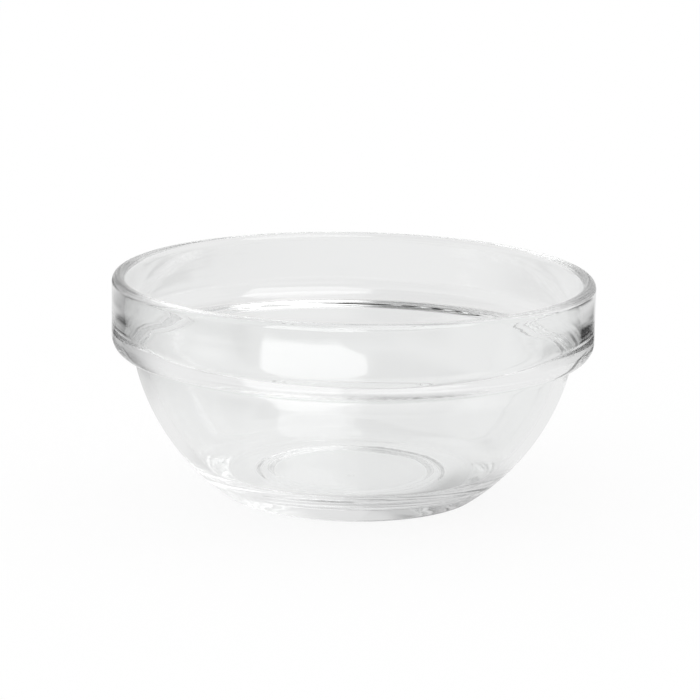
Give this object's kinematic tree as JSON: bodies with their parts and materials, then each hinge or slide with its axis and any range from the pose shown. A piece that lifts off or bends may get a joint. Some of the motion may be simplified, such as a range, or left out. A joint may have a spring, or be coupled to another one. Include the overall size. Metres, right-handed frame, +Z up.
{
  "type": "prep bowl",
  "caption": "Small round bowl of clear pressed glass with a thick straight collar, a ledge inside it for stacking, and a round body on a flat base ring.",
  "frame": {"origin": "centre of the ring that the bowl stands on, at the height of the table", "axes": "+Z up along the bowl's axis of revolution, towards the open rim; X and Y are alike"},
  "size_m": [0.12, 0.12, 0.055],
  "materials": {
    "glass": "clear, colourless, smooth pressed glass"
  },
  "bodies": {
    "root": {"bowl": "glass"}
  },
  "joints": []
}
